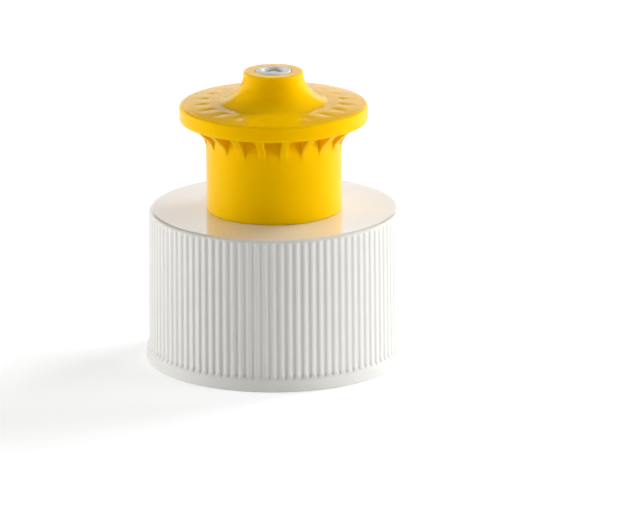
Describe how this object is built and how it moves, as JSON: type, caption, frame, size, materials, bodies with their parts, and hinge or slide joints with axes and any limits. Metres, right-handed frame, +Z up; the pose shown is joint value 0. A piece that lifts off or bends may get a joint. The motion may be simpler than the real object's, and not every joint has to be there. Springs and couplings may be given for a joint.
{
  "type": "push-pull cap",
  "caption": "Push-pull bottle cap: ribbed screw base with central stem and pin, and a flanged spout that pulls up to open.",
  "frame": {"origin": "centre of the mouth rim, on the surface that the cap stands on", "axes": "+Z up along the cap's axis, from the mouth towards the nozzle; -Y faces the reader of the picture"},
  "size_m": [0.0317, 0.0316, 0.0362],
  "materials": {
    "white_polypropylene": "glossy moulded",
    "yellow_polypropylene": "glossy moulded"
  },
  "bodies": {
    "base": {"screw_base": "white_polypropylene"},
    "spout": {"push_pull_spout": "yellow_polypropylene"}
  },
  "joints": [
    {"name": "spout_slide", "type": "slide", "parent": "base", "child": "spout", "axis": [0, 0, 1], "range_m": [0, 0.005]}
  ]
}
